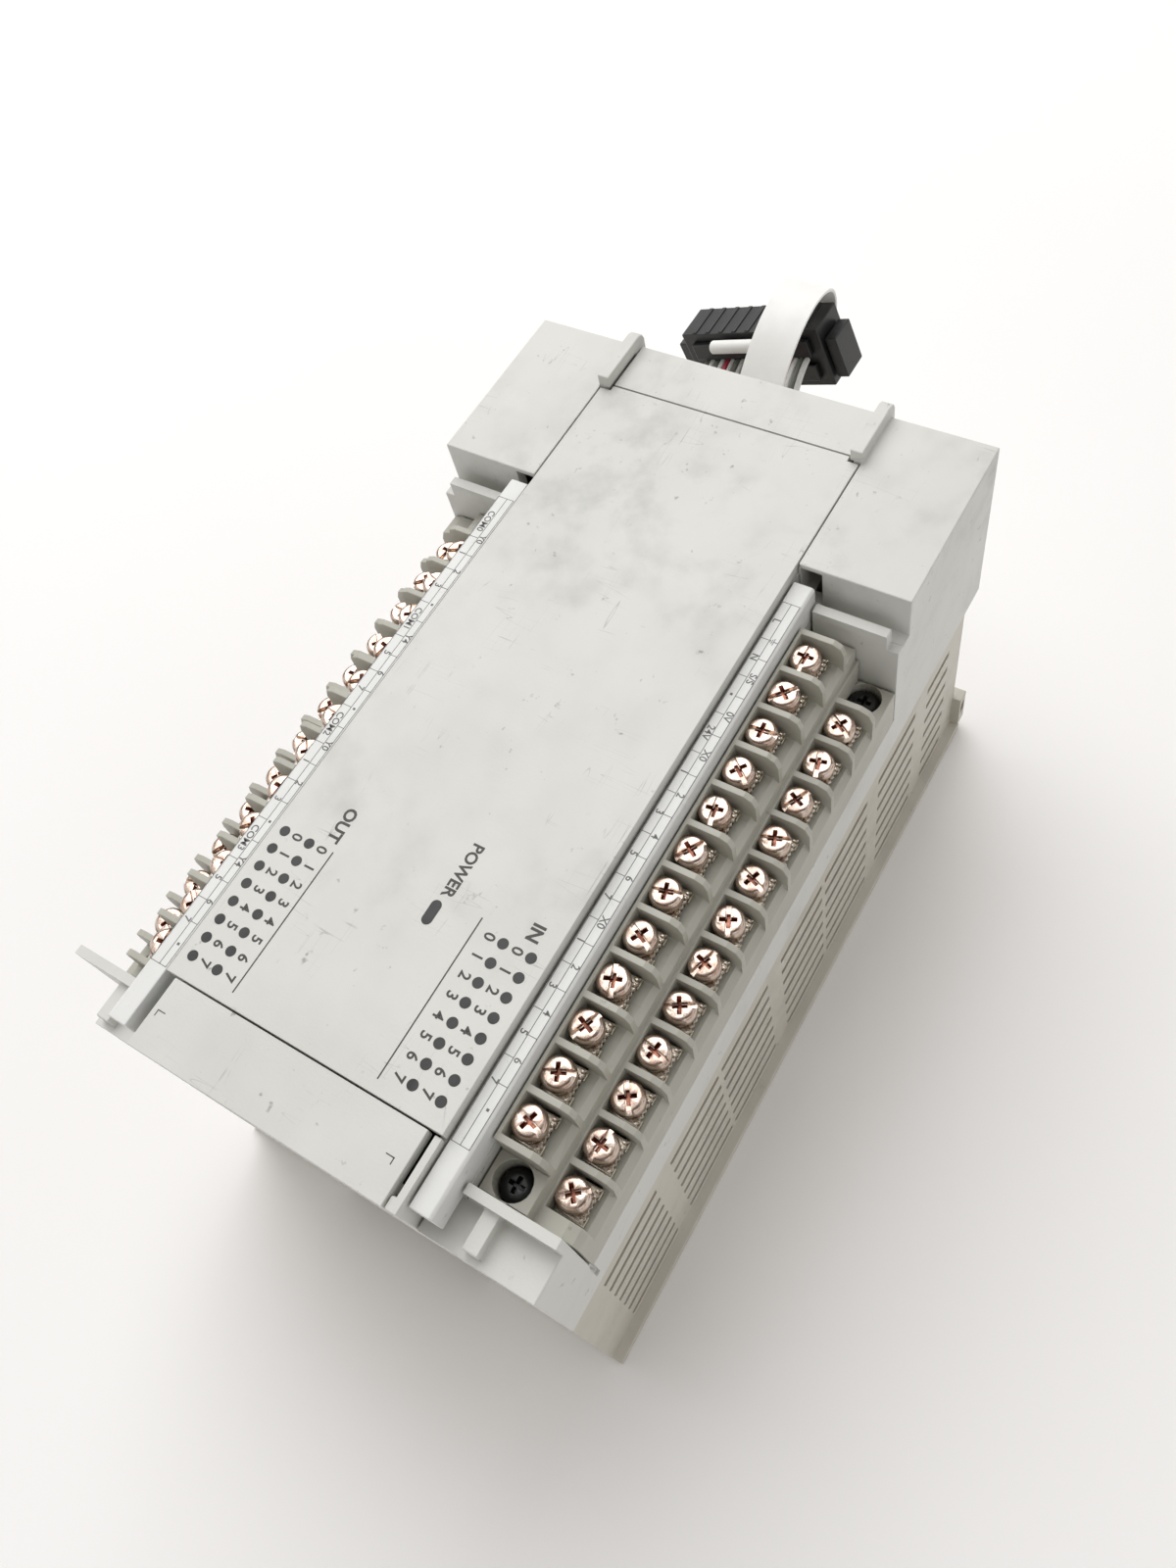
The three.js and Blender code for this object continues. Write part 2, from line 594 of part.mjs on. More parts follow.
// Eight relays in a line, joined by the thin strip that they are soldered along.
function relayBank(y) {
  const z = IO_BOARD_Z - 0.2;
  const cases = Array.from({ length: 8 }, (_, index) => {
    const x = -47.6 + 13.6 * index;
    return block([x - 6, x + 6], [y - 2.6, y + 2.6], [z - 13, z - 0.4]);
  });
  return join([...cases, block([-50, 50], [y - 1.5, y + 1.5], [z - 0.8, z])]);
}

function optocouplerRow() {
  const z = IO_BOARD_Z - 0.2;
  const bodies = Array.from({ length: 8 }, (_, index) => {
    const x = -44 + 12.5 * index;
    return block([x - 4.5, x + 4.5], [29.5, 36], [z - 3.6, z - 0.4]);
  });
  return join([...bodies, block([-46, 46], [31.5, 34], [z - 0.8, z])]);
}

function busChip(x) {
  const z = IO_BOARD_Z + BOARD + 0.2;
  return block([x - 8, x + 8], [7, 19], [z, z + 2.4]);
}

function boardLink() {
  return block([-6, 34], [-2.4, 2.4], [IO_BOARD_Z + BOARD + 0.2, LIGHT_BOARD_Z - 0.2]);
}

function indicatorBoard() {
  const z = LIGHT_BOARD_Z + BOARD;
  const lamps = [...lightPlaces(), [POWER_LIGHT.x, POWER_LIGHT.y]];
  const chips = lamps.map(([x, y]) =>
    block([x - 0.8, x + 0.8], [y - 0.5, y + 0.5], [z - 0.2, z + 0.7]));
  return join([board([-10, 62], 23.8, LIGHT_BOARD_Z), ...chips]);
}

// One clear moulding: a thin plate with a rod up to every window.
function lightGuide() {
  const low = LIGHT_BOARD_Z + BOARD + 1.1;
  const plate = block([33, 62], [-23.8, 23.8], [low, low + 0.8]);
  const rods = lightPlaces().map(([x, y]) => disc(x, y, [low, HEIGHT], WINDOW_RADIUS - 0.18, 4));
  return join([plate, ...rods, powerOutline(0.18, low, HEIGHT)]);
}

// ---------------------------------------------------------------- connectors and cable
function extensionSocket() {
  const shroud = block([56, 72.7], [-17, 17], [62, 73]);
  const well = block([58, 73], [-15.4, 15.4], [64, 71]);
  return cut(shroud, [well]);
}

function socketPins() {
  const pins = [];
  for (const z of [66, 68.6]) {
    for (let index = 0; index < 10; index += 1) {
      const y = -11.43 + 2.54 * index;
      pins.push(block([58.3, 67], [y - 0.3, y + 0.3], [z - 0.3, z + 0.3]));
    }
  }
  return join([...pins, block([58.3, 59], [-13, 13], [65, 69.6])]);
}

function socketCarrier() {
  return block([52, 72], [-20, 20], [60, 61.6]);
}

function cableSocket() {
  return block([-72, -66], [CABLE.y - 13, CABLE.y + 13], [CABLE.z - 4, CABLE.z + 4]);
}

function rollPoint(x, u, w, roll, y, z) {
  return [x, y + u * Math.cos(roll) - w * Math.sin(roll), z + u * Math.sin(roll) + w * Math.cos(roll)];
}

function ribbonCable() {
  const start = -72.3;
  const end = PLUG.x + PLUG.depth / 2 + 0.3;
  const steps = 10;
  const sections = [];
  for (let step = 0; step <= steps; step += 1) {
    const t = step / steps;
    const ease = t * t * (3 - 2 * t);
    const x = start + (end - start) * t;
    const y = CABLE.y + (PLUG.y - CABLE.y) * ease;
    const z = CABLE.z + (PLUG.z - CABLE.z) * ease - 2.2 * Math.sin(Math.PI * t);
    const section = [[-1, -1], [-1, 1], [1, 1], [1, -1]].map(([u, w]) =>
      rollPoint(x, (u * CABLE.width) / 2, (w * CABLE.thickness) / 2, PLUG.roll * ease, y, z));
    sections.push(section);
  }
  return strip(sections);
}

function plugBox(x, u, w) {
  const section = (at) => [[0, 0], [0, 1], [1, 1], [1, 0]].map(([a, b]) =>
    rollPoint(at, u[a], w[b], PLUG.roll, PLUG.y, PLUG.z));
  return strip([section(x[1]), section(x[0])]);
}

function cablePlug() {
  const { x, depth, length, height } = PLUG;
  const low = x - depth / 2;
  const body = plugBox([low, x + depth / 2], [-length / 2, length / 2], [-height / 2, height / 2]);
  const well = plugBox([low - 1, low + 5.4], [-length / 2 + 1.6, length / 2 - 1.6], [-4.2, 4.2]);
  return body.subtract(well);
}

function plugLatch(side) {
  const { x, depth, length, height } = PLUG;
  const face = x - depth / 2;
  const u = [side * (length / 2 + 0.3), side * (length / 2 + 2.6)].sort((a, b) => a - b);
  return plugBox([face + 1, face + depth - 1], u, [-height / 2 + 1, height / 2 - 3]);
}

function pullTab() {
  const profile = [
    [-106.2, 73.5], [-106.6, 79], [-104.4, 82.6], [-99, 84], [-92, 82.4], [-85, 77.6], [-80, 71.6],
    [-77.6, 67.2],
  ];
  const thickness = 0.7;
  const sections = profile.map(([x, z], index) => {
    const before = profile[Math.max(index - 1, 0)];
    const after = profile[Math.min(index + 1, profile.length - 1)];
    const length = Math.hypot(after[0] - before[0], after[1] - before[1]);
    const normal = [-(after[1] - before[1]) / length, (after[0] - before[0]) / length];
    const raised = [x + thickness * normal[0], z + thickness * normal[1]];
    return [[x, -9.5, z], [x, 1.5, z], [raised[0], 1.5, raised[1]], [raised[0], -9.5, raised[1]]];
  });
  return strip(sections);
}

// ---------------------------------------------------------------- assembly
const module32 = new THREE.Group();
function place(name, solid, material) {
  const mesh = new THREE.Mesh(toGeometry(solid), material);
  mesh.name = name;
  module32.add(mesh);
}

place("rear_case", rearCase(), CASE_ABS);
place("rail_latch", railLatch(), CASE_ABS);
place("upper_case", upperCase(), CASE_ABS);
place("front_panel", frontPanel(), CASE_ABS);
place("cable_cover", coverLid([PANEL_START - GAP, -END], RIB_INNER - GAP, 79.5), CASE_ABS);
place("connector_cover", coverLid([PANEL_FINISH + GAP, END], RIB_INNER - GAP, 81), CASE_ABS);
corners(COLUMN.x, COLUMN.y).forEach((at, index) => {
  place(`case_screw_${index + 1}`, caseScrew(at), NICKEL);
});

for (const side of SIDES) {
  const name = side > 0 ? "in" : "out";
  place(`label_bar_${name}`, labelBar(side), LABEL_ABS);
  place(`terminal_block_${name}`, terminalBlock(side), BLOCK_ABS);
  const [upperScrew, lowerScrew] = screwPlaces(side);
  place(`block_screw_${name}_upper`, blockScrew(upperScrew, INNER_SEAT), BLACK_PBT);
  place(`block_screw_${name}_lower`, blockScrew(lowerScrew, OUTER_SEAT), BLACK_PBT);
  const [upperRow, lowerRow] = rowsOf(side);
  for (const [tier, row] of [["upper", upperRow], ["lower", lowerRow]]) {
    place(`contact_plates_${name}_${tier}`, contactPlates(row, side), TIN);
    place(`terminal_screws_${name}_${tier}`, terminalScrews(row, side), NICKEL);
  }
}

place("power_board", board([-63, 63], 38, POWER_BOARD_Z, POWER_BOARD_HOLES), FIBREGLASS);
POWER_BOARD_HOLES.forEach((at, index) => {
  place(`board_screw_${index + 1}`, boardScrew(at), NICKEL);
});
place("spacer_frame", spacerFrame(), BLACK_PBT);
place("transformer_core", transformerCore(), CORE_STEEL);
place("transformer_winding", transformerWinding(), SLEEVE);
CAPACITORS.forEach((capacitor, index) => {
  place(`filter_capacitor_${index + 1}`, filterCapacitor(capacitor), SLEEVE);
});
place("power_heat_sink", powerHeatSink(), ALUMINIUM);
place("io_board", board([-63, 63], 40, IO_BOARD_Z), FIBREGLASS);
place("relay_bank_a", relayBank(-22), RELAY_BLUE);
place("relay_bank_b", relayBank(-34.5), RELAY_BLUE);
place("optocoupler_row", optocouplerRow(), BLACK_PBT);
place("bus_chip_1", busChip(-36), BLACK_PBT);
place("bus_chip_2", busChip(8), BLACK_PBT);
place("board_link", boardLink(), BLACK_PBT);
place("indicator_board", indicatorBoard(), FIBREGLASS);
place("light_guide", lightGuide(), DARK_LENS);
place("socket_carrier", socketCarrier(), FIBREGLASS);
place("extension_socket", extensionSocket(), BLACK_PBT);
place("socket_pins", socketPins(), TIN);
place("cable_socket", cableSocket(), BLACK_PBT);
place("ribbon_cable", ribbonCable(), CABLE_PVC);
place("cable_plug", cablePlug(), BLACK_PBT);
place("plug_latch_left", plugLatch(-1), BLACK_PBT);
place("plug_latch_right", plugLatch(1), BLACK_PBT);
place("pull_tab", pullTab(), TAPE);

export default module32;
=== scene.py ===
# %% [markdown]
# # A rail-mounted expansion module
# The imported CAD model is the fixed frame: it says where every piece is. This lesson gives it its
# looks: softened edges, moulded plastic, plated screws, print, a ribbon cable and soft light.
# Lengths are written in millimetres and multiplied by MM, because Blender works in metres.

# %% Load the frame
from math import cos, pi, radians, sin
import bmesh
import bpy
from mathutils import Matrix, Vector


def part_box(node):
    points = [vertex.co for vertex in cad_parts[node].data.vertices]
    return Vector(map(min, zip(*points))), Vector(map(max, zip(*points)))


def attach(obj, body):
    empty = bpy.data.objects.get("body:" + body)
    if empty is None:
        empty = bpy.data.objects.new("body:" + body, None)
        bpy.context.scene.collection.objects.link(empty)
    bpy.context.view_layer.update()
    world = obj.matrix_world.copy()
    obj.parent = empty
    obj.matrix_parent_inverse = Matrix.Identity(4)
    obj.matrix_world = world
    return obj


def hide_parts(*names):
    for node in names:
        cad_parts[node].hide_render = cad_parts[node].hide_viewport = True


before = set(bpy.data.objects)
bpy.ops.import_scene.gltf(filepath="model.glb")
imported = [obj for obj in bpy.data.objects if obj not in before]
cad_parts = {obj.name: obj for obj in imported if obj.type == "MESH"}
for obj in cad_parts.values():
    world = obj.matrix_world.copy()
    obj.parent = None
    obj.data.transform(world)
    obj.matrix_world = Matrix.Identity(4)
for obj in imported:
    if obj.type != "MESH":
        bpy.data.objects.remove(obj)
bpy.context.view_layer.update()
MM = 0.001

# %% [markdown]
# ## The camera
# A handheld shot from above the input side, turned so that the long case runs across the picture
# from corner to corner. The lens is a moderate wide angle, close to the object.

# %% Camera
camera_data = bpy.data.cameras.new("camera")
camera_data.lens = 29.03
camera_data.sensor_width = 36
camera_data.clip_start = 0.005
camera = bpy.data.objects.new("camera", camera_data)
bpy.context.scene.collection.objects.link(camera)
camera_turn = Matrix.Rotation(2.402, 4, "Z") @ Matrix.Rotation(0.546, 4, "X")
camera_turn = camera_turn @ Matrix.Rotation(-0.335, 4, "Z")
camera.matrix_world = Matrix.Translation(Vector((75.6, 88.2, 248.9)) * MM) @ camera_turn
bpy.context.scene.camera = camera
print("camera at", [round(v, 3) for v in camera.matrix_world.translation])

# %% [markdown]
# ## Helpers for materials
# A colour is chosen on screen as an sRGB hex value, while shaders work in linear light, so one
# function turns it. Another adds a node with its settings, and sets or links its inputs. The rest
# are small patterns built from those two: patches, thin lines, paint, roughness and bumps.

# %% Colour and nodes
def linear(code):
    channels = [int(code[i:i + 2], 16) / 255 for i in (1, 3, 5)]
    return [c / 12.92 if c <= 0.04045 else ((c + 0.055) / 1.055) ** 2.4 for c in channels] + [1]


def add(tree, kind, settings, inputs):
    node = tree.nodes.new(kind)
    for name, value in settings.items():
        setattr(node, name, value)
    for name, value in inputs.items():
        if isinstance(value, bpy.types.NodeSocket):
            tree.links.new(value, node.inputs[name])
        else:
            node.inputs[name].default_value = value
    return node


def start_material(name, **shader):
    material = bpy.data.materials.new(name)
    material.use_nodes = True
    tree = material.node_tree
    surface = tree.nodes["Principled BSDF"]
    for socket, value in shader.items():
        surface.inputs[socket.replace("_", " ")].default_value = value
    where = add(tree, "ShaderNodeTexCoord", {}, {}).outputs["Object"]
    return material, tree, surface, where


# Where a noise of this size is above `low`, the mask rises to 1 at `high`.
def patches(tree, where, size, low, high, detail=4, stretch=(1, 1, 1), turn=0):
    placed = add(tree, "ShaderNodeMapping", {}, {
        "Vector": where, "Scale": [s / size for s in stretch], "Rotation": (0, 0, turn)})
    noise = add(tree, "ShaderNodeTexNoise", {}, {
        "Vector": placed.outputs[0], "Scale": 1, "Detail": detail, "Roughness": 0.6})
    return add(tree, "ShaderNodeMapRange", {}, {
        "Value": noise.outputs[0], "From Min": low, "From Max": high}).outputs[0]


# Paints `code` over the colour so far, as strongly as `mask` times `strength`.
def paint(tree, under, code, mask, strength=1.0):
    share = add(tree, "ShaderNodeMath", {"operation": "MULTIPLY"}, {0: mask, 1: strength})
    return add(tree, "ShaderNodeMix", {"data_type": "RGBA"}, {
        0: share.outputs[0], 6: under, 7: linear(code)}).outputs[2]


# Thin winding lines where a stretched noise crosses its middle value, kept only inside `mask`.
def hairlines(tree, where, size, thinness, stretch, turn, mask):
    placed = add(tree, "ShaderNodeMapping", {}, {
        "Vector": where, "Scale": [s / size for s in stretch], "Rotation": (0, 0, turn)})
    noise = add(tree, "ShaderNodeTexNoise", {}, {
        "Vector": placed.outputs[0], "Scale": 1, "Detail": 1})
    offset = add(tree, "ShaderNodeMath", {"operation": "SUBTRACT"}, {0: noise.outputs[0], 1: 0.5})
    distance = add(tree, "ShaderNodeMath", {"operation": "ABSOLUTE"}, {0: offset.outputs[0]})
    line = add(tree, "ShaderNodeMapRange", {}, {
        "Value": distance.outputs[0], "From Max": thinness, "To Min": 1, "To Max": 0})
    kept = add(tree, "ShaderNodeMath", {"operation": "MULTIPLY"}, {0: line.outputs[0], 1: mask})
    return kept.outputs[0]


def roughen(tree, surface, mask, smooth, rough):
    spread = add(tree, "ShaderNodeMapRange", {}, {
        "Value": mask, "To Min": smooth, "To Max": rough})
    tree.links.new(spread.outputs[0], surface.inputs["Roughness"])


def raise_surface(tree, surface, height, depth, strength=1.0):
    bump = add(tree, "ShaderNodeBump", {}, {
        "Height": height, "Distance": depth, "Strength": strength})
    tree.links.new(bump.outputs[0], surface.inputs["Normal"])


print("a mid grey in linear light:", round(linear("#808080")[0], 3))

# %% [markdown]
# ## Moulded ABS of the case
# The case is injection-moulded ABS in a cool light grey. The mould is spark-eroded, which leaves a
# fine matt grain of about 0.5 mm. A used module has grey smudges, short dark scuffs and hairline
# scratches. ABS has an index of refraction of 1.54.

# %% Case plastic
def moulded_case(name, base, shade, wear):
    material, tree, surface, where = start_material(name, IOR=1.54, Roughness=0.5)
    cloudy = patches(tree, where, 30 * MM, 0.42, 0.68)
    colour = paint(tree, linear(base), shade, cloudy, 0.8)
    handled = patches(tree, where, 55 * MM, 0.44, 0.6)
    smudge = patches(tree, where, 7 * MM, 0.46, 0.72, 7)
    dirt = add(tree, "ShaderNodeMath", {"operation": "MULTIPLY"}, {0: handled, 1: smudge})
    colour = paint(tree, colour, "#A3A59F", dirt.outputs[0], 0.4 * wear)
    specks = patches(tree, where, 2.2 * MM, 0.67, 0.75, 4)
    colour = paint(tree, colour, "#5F5C57", specks, 0.55 * wear)
    scraped = patches(tree, where, 9 * MM, 0.55, 0.64, 3)
    for turn, stretch in ((28, (5, 0.3, 1)), (-35, (0.25, 4, 1))):
        scratch = hairlines(tree, where, 11 * MM, 0.004, stretch, radians(turn), scraped)
        colour = paint(tree, colour, "#8A8781", scratch, 0.5 * wear)
    tree.links.new(colour, surface.inputs["Base Color"])
    grain = patches(tree, where, 0.5 * MM, 0.3, 0.7, 2)
    roughen(tree, surface, smudge, 0.46, 0.6)
    raise_surface(tree, surface, grain, 0.02 * MM, 0.5)
    return material


CASE = moulded_case("case_moulded_abs", "#D6D6D1", "#CDCDC7", 1.0)
# The rear case's warmer tone is its own, but its darker value is painted shade for the walls that
# face away from the light.
REAR_CASE_TONE_AND_SHADE = moulded_case("rear_abs_tone_and_painted_shade", "#CBC7BB", "#BFBAAD", 0.7)
LABEL = moulded_case("label_moulded_abs", "#E4E5E3", "#D9DAD7", 0.35)
BLOCK = moulded_case("terminal_moulded_pbt", "#B5B4A9", "#A7A59A", 0.8)
print("case plastics:", [m.name for m in (CASE, REAR_CASE_TONE_AND_SHADE, LABEL, BLOCK)])

# %% [markdown]
# ## Black PBT, smoked lens and ink
# Plugs, sockets and screw heads are black glass-filled PBT with a fine dull grain. The windows are
# smoked clear plastic that looks nearly black over unlit lamps. The print is a matt pad-printed ink.

# %% Dark plastics
def dark_plastic(name, base, bloom, roughness, grain_size):
    material, tree, surface, where = start_material(name, IOR=1.56, Roughness=roughness)
    worn = patches(tree, where, 5 * MM, 0.5, 0.75)
    tree.links.new(paint(tree, linear(base), bloom, worn, 0.6), surface.inputs["Base Color"])
    roughen(tree, surface, worn, roughness - 0.06, roughness + 0.1)
    grain = patches(tree, where, grain_size, 0.3, 0.7, 2)
    raise_surface(tree, surface, grain, 0.02 * MM, 0.4)
    return material


BLACK = dark_plastic("black_moulded_pbt", "#141515", "#262727", 0.42, 0.4 * MM)
LENS = dark_plastic("smoked_lens", "#070808", "#0E0F10", 0.5, 0.8 * MM)
INK = dark_plastic("pad_print_ink", "#3A3835", "#524F4B", 0.6, 0.3 * MM)
LABEL_INK = dark_plastic("label_print_ink", "#5F5E5C", "#8A8985", 0.6, 0.3 * MM)
RELAY = dark_plastic("relay_case_plastic", "#22303C", "#31414F", 0.3, 0.5 * MM)
print("dark plastics:", [m.name for m in (BLACK, LENS, INK, LABEL_INK, RELAY)])

# %% [markdown]
# ## Nickel plate and tinned brass
# The screws are steel, cold-headed and then nickel-plated, so they are bright with a warm, slightly
# coppery cast where the plating is thin, and their recesses hold a red-brown film. The contact
# plates are stamped brass with tin, paler and duller, with fine lines from the roll.

# %% Plated metals
def plated(name, base, cast, cast_share, smooth, rough, line):
    material, tree, surface, where = start_material(name, Metallic=1.0)
    film = patches(tree, where, 1.6 * MM, 0.4, 0.66, 5)
    tree.links.new(paint(tree, linear(base), cast, film, cast_share), surface.inputs["Base Color"])
    roughen(tree, surface, film, smooth, rough)
    rolled = patches(tree, where, line, 0.35, 0.65, 2, (1, 6, 1), radians(12))
    raise_surface(tree, surface, rolled, 0.03 * MM, 0.25)
    return material


NICKEL = plated("nickel_plated_steel", "#D6C5B8", "#AD8A79", 0.65, 0.14, 0.26, 0.7 * MM)
WASHER = plated("nickel_plated_washer", "#CFC6B8", "#8E7C6C", 0.6, 0.18, 0.34, 0.5 * MM)
RECESS = plated("punched_recess", "#A4705F", "#4E2621", 0.8, 0.28, 0.5, 0.6 * MM)
TIN = plated("tinned_brass", "#D8D2C4", "#A89C82", 0.5, 0.22, 0.4, 0.5 * MM)
ALUMINIUM = plated("extruded_aluminium", "#C9CBCD", "#A5A8AB", 0.5, 0.25, 0.42, 0.4 * MM)
CORE = plated("laminated_core_steel", "#7A746A", "#544F47", 0.6, 0.35, 0.5, 0.35 * MM)
print("metals:", [m.name for m in (NICKEL, WASHER, RECESS, TIN, ALUMINIUM, CORE)])

# %% [markdown]
# ## Circuit board
# A board is woven glass in epoxy under a green solder mask. The weave is about 0.5 mm, and the
# copper tracks under the mask show as paler lines on a 2.54 mm grid.

# %% Board
def circuit_board():
    material, tree, surface, where = start_material("fibreglass_board", IOR=1.5, Roughness=0.3)
    track = add(tree, "ShaderNodeTexBrick", {"offset": 0.5}, {
        "Vector": where, "Scale": 1 / (10.16 * MM), "Mortar Size": 0.03,
        "Color1": (0, 0, 0, 1), "Color2": (0, 0, 0, 1), "Mortar": (1, 1, 1, 1)})
    colour = paint(tree, linear("#1D5634"), "#2F7A4C", track.outputs[0], 0.8)
    tree.links.new(colour, surface.inputs["Base Color"])
    weave = add(tree, "ShaderNodeTexWave", {"bands_direction": "DIAGONAL"}, {
        "Vector": where, "Scale": 1 / (0.5 * MM) / 20, "Distortion": 1})
    raise_surface(tree, surface, weave.outputs[0], 0.02 * MM, 0.4)
    return material


BOARD = circuit_board()
print("board:", BOARD.name)

# %% [markdown]
# ## Cable insulation and tape
# The ribbon is PVC-insulated wire, soft and slightly shiny, in grey, white and red. The pull tab
# and the roll under it are white plastic film with a faint 0.4 mm weave pressed in.

# %% Cable plastics
def soft_plastic(name, base, shade, roughness, weave_size):
    material, tree, surface, where = start_material(name, IOR=1.53, Roughness=roughness)
    handled = patches(tree, where, 6 * MM, 0.45, 0.75)
    tree.links.new(paint(tree, linear(base), shade, handled, 0.6), surface.inputs["Base Color"])
    roughen(tree, surface, handled, roughness - 0.05, roughness + 0.1)
    weave = add(tree, "ShaderNodeTexWave", {"bands_direction": "DIAGONAL"}, {
        "Vector": where, "Scale": 1 / weave_size / 20, "Distortion": 0.5})
    raise_surface(tree, surface, weave.outputs[0], 0.01 * MM, 0.4)
    return material


WIRE_GREY = soft_plastic("grey_pvc", "#72766D", "#5F635B", 0.42, 2 * MM)
WIRE_WHITE = soft_plastic("white_pvc", "#E2E3DF", "#CFD0CB", 0.42, 2 * MM)
WIRE_RED = soft_plastic("red_pvc", "#B8324A", "#97263B", 0.42, 2 * MM)
TAPE = soft_plastic("white_film_tape", "#F6F6F3", "#ECECE8", 0.5, 0.4 * MM)
SLEEVE = soft_plastic("vinyl_sleeve", "#1E2A36", "#2C3B4A", 0.35, 2 * MM)
WINDING = soft_plastic("winding_tape", "#C9A63C", "#B08F2E", 0.5, 1 * MM)
print("soft plastics:", [m.name for m in (WIRE_GREY, WIRE_WHITE, WIRE_RED, TAPE, SLEEVE, WINDING)])

# %% [markdown]
# ## Dressing the CAD nodes
# The CAD solids have knife edges. Moulded edges are rounded, and it is the thin highlight on the
# round that makes plastic look real. Doubled corners are welded first, so that the bevel runs on
# along every edge, and hardened normals keep the flats flat. Widths are in millimetres.

# %% Softened edges
def dress(name, material, edge):
    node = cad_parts[name]
    node.data.materials.clear()
    node.data.materials.append(material)
    if edge == 0:
        return
    weld = node.modifiers.new("weld", "WELD")
    weld.merge_threshold = 0.002 * MM
    bevel = node.modifiers.new("edge", "BEVEL")
    bevel.width = edge * MM
    bevel.segments = 2
    bevel.angle_limit = radians(32)
    bevel.use_clamp_overlap = False
    bevel.harden_normals = True


DRESSING = (
    (CASE, 0.25, ("upper_case",)),
    (CASE, 0.2, ("rail_latch",)),
    (CASE, 0.12, ("front_panel", "cable_cover", "connector_cover")),
    (REAR_CASE_TONE_AND_SHADE, 0.2, ("rear_case",)),
    (LABEL, 0.2, ("label_bar_in", "label_bar_out")),
    (BLOCK, 0.15, ("terminal_block_in", "terminal_block_out")),
    (BLACK, 0.25, ("cable_plug", "plug_latch_left", "plug_latch_right", "extension_socket")),
    (BLACK, 0.15, ("cable_socket", "board_link", "bus_chip_1", "bus_chip_2", "optocoupler_row",
                   "spacer_frame")),
    (BOARD, 0.1, ("power_board", "io_board", "indicator_board", "socket_carrier")),
    (RELAY, 0.3, ("relay_bank_a", "relay_bank_b")),
    (SLEEVE, 0.5, [f"filter_capacitor_{number}" for number in (1, 2, 3)]),
    (NICKEL, 0.1, [f"case_screw_{number}" for number in (1, 2, 3, 4)]),
    (NICKEL, 0.1, [f"board_screw_{number}" for number in (1, 2, 3, 4)]),
    (CORE, 0.2, ("transformer_core",)),
    (WINDING, 0.4, ("transformer_winding",)),
    (ALUMINIUM, 0.15, ("power_heat_sink",)),
    (LENS, 0, ("light_guide",)),
    (TIN, 0, ("socket_pins",)),
)
for material, edge, names in DRESSING:
    for name in names:
        dress(name, material, edge)
print("dressed:", sum(1 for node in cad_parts.values() if node.modifiers))

# %% [markdown]
# ## Making pieces
# Every new piece is a mesh in the shared frame, in metres, that rides on a CAD body. Two
# generators cover most shapes: an outline pushed along Z, and a profile turned about Z.

# %% Mesh helpers
def to_object(name, bm, materials, smooth_angle=35):
    bmesh.ops.remove_doubles(bm, verts=bm.verts, dist=1e-7)
    bmesh.ops.recalc_face_normals(bm, faces=bm.faces)
    mesh = bpy.data.meshes.new(name)
    bm.to_mesh(mesh)
    bm.free()
    for material in materials:
        mesh.materials.append(material)
    mesh.shade_smooth()
    mesh.set_sharp_from_angle(angle=radians(smooth_angle))
    piece = bpy.data.objects.new(name, mesh)
    bpy.context.scene.collection.objects.link(piece)
    return piece


def install(piece, body, slot, *stands_for):
    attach(piece, body)
    if stands_for:
        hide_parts(*stands_for)
    return piece


def push_outline(bm, outline, low, high):
    bottom = [bm.verts.new((x * MM, y * MM, low * MM)) for x, y in outline]
    top = [bm.verts.new((x * MM, y * MM, high * MM)) for x, y in outline]
    bm.faces.new(bottom[::-1])
    bm.faces.new(top)
    for i in range(len(outline)):
        j = (i + 1) % len(outline)
        bm.faces.new((bottom[i], bottom[j], top[j], top[i]))


def box_outline(x, y):
    return [(x[0], y[0]), (x[1], y[0]), (x[1], y[1]), (x[0], y[1])]


def turn_profile(bm, profile, steps=40):
    rings = []
    for radius, height in profile:
        if radius == 0:
            rings.append([bm.verts.new((0, 0, height * MM))] * steps)
            continue
        angles = [2 * pi * step / steps for step in range(steps)]
        rings.append([bm.verts.new((radius * cos(a) * MM, radius * sin(a) * MM, height * MM))
                      for a in angles])
    for lower, upper in zip(rings, rings[1:]):
        for i in range(steps):
            j = (i + 1) % steps
            corners = dict.fromkeys((lower[i], lower[j], upper[j], upper[i]))
            bm.faces.new(list(corners))


# A mesh with its modifiers applied, and the objects that made it removed.
def settled(bases):
    depsgraph = bpy.context.evaluated_depsgraph_get()
    mesh = bpy.data.meshes.new_from_object(bases[0].evaluated_get(depsgraph))
    for base in bases:
        bpy.data.objects.remove(base)
    return mesh


def stamp(bm, mesh, matrix):
    start = len(bm.verts)
    bm.from_mesh(mesh)
    bm.verts.ensure_lookup_table()
    bmesh.ops.transform(bm, matrix=matrix, verts=bm.verts[start:])


print("helpers ready")

# %% [markdown]
# ## The screw head
# The terminal screws are combination pan heads, 5.2 mm across, with a cross recess and one slot
# that runs out through the rim. The head is a turned profile, and three tapered cutters make the
# recess, as the punch does on a real screw. Each cutter leaves its own material on the walls: the
# cross keeps a red-brown film, and the slot is bare plate.

# %% Cut a head
CROSS_HALF_WIDTH = 0.42
CROSS_DEPTH = 1.3
CROSS_TAPER = 0.55
SLOT_DEPTH = 0.75
SLOT_HALF_LENGTH = 9  # well past the rim on both sides


def tapered_cutter(half_length, half_width, top, depth, taper, material):
    bm = bmesh.new()
    push_outline(bm, box_outline((-half_length, half_length), (-half_width, half_width)),
                 top - depth, top + 1)
    for vert in bm.verts:
        if vert.co.z < top * MM:
            vert.co.x *= taper
            vert.co.y *= taper
    return to_object("cutter", bm, [material])


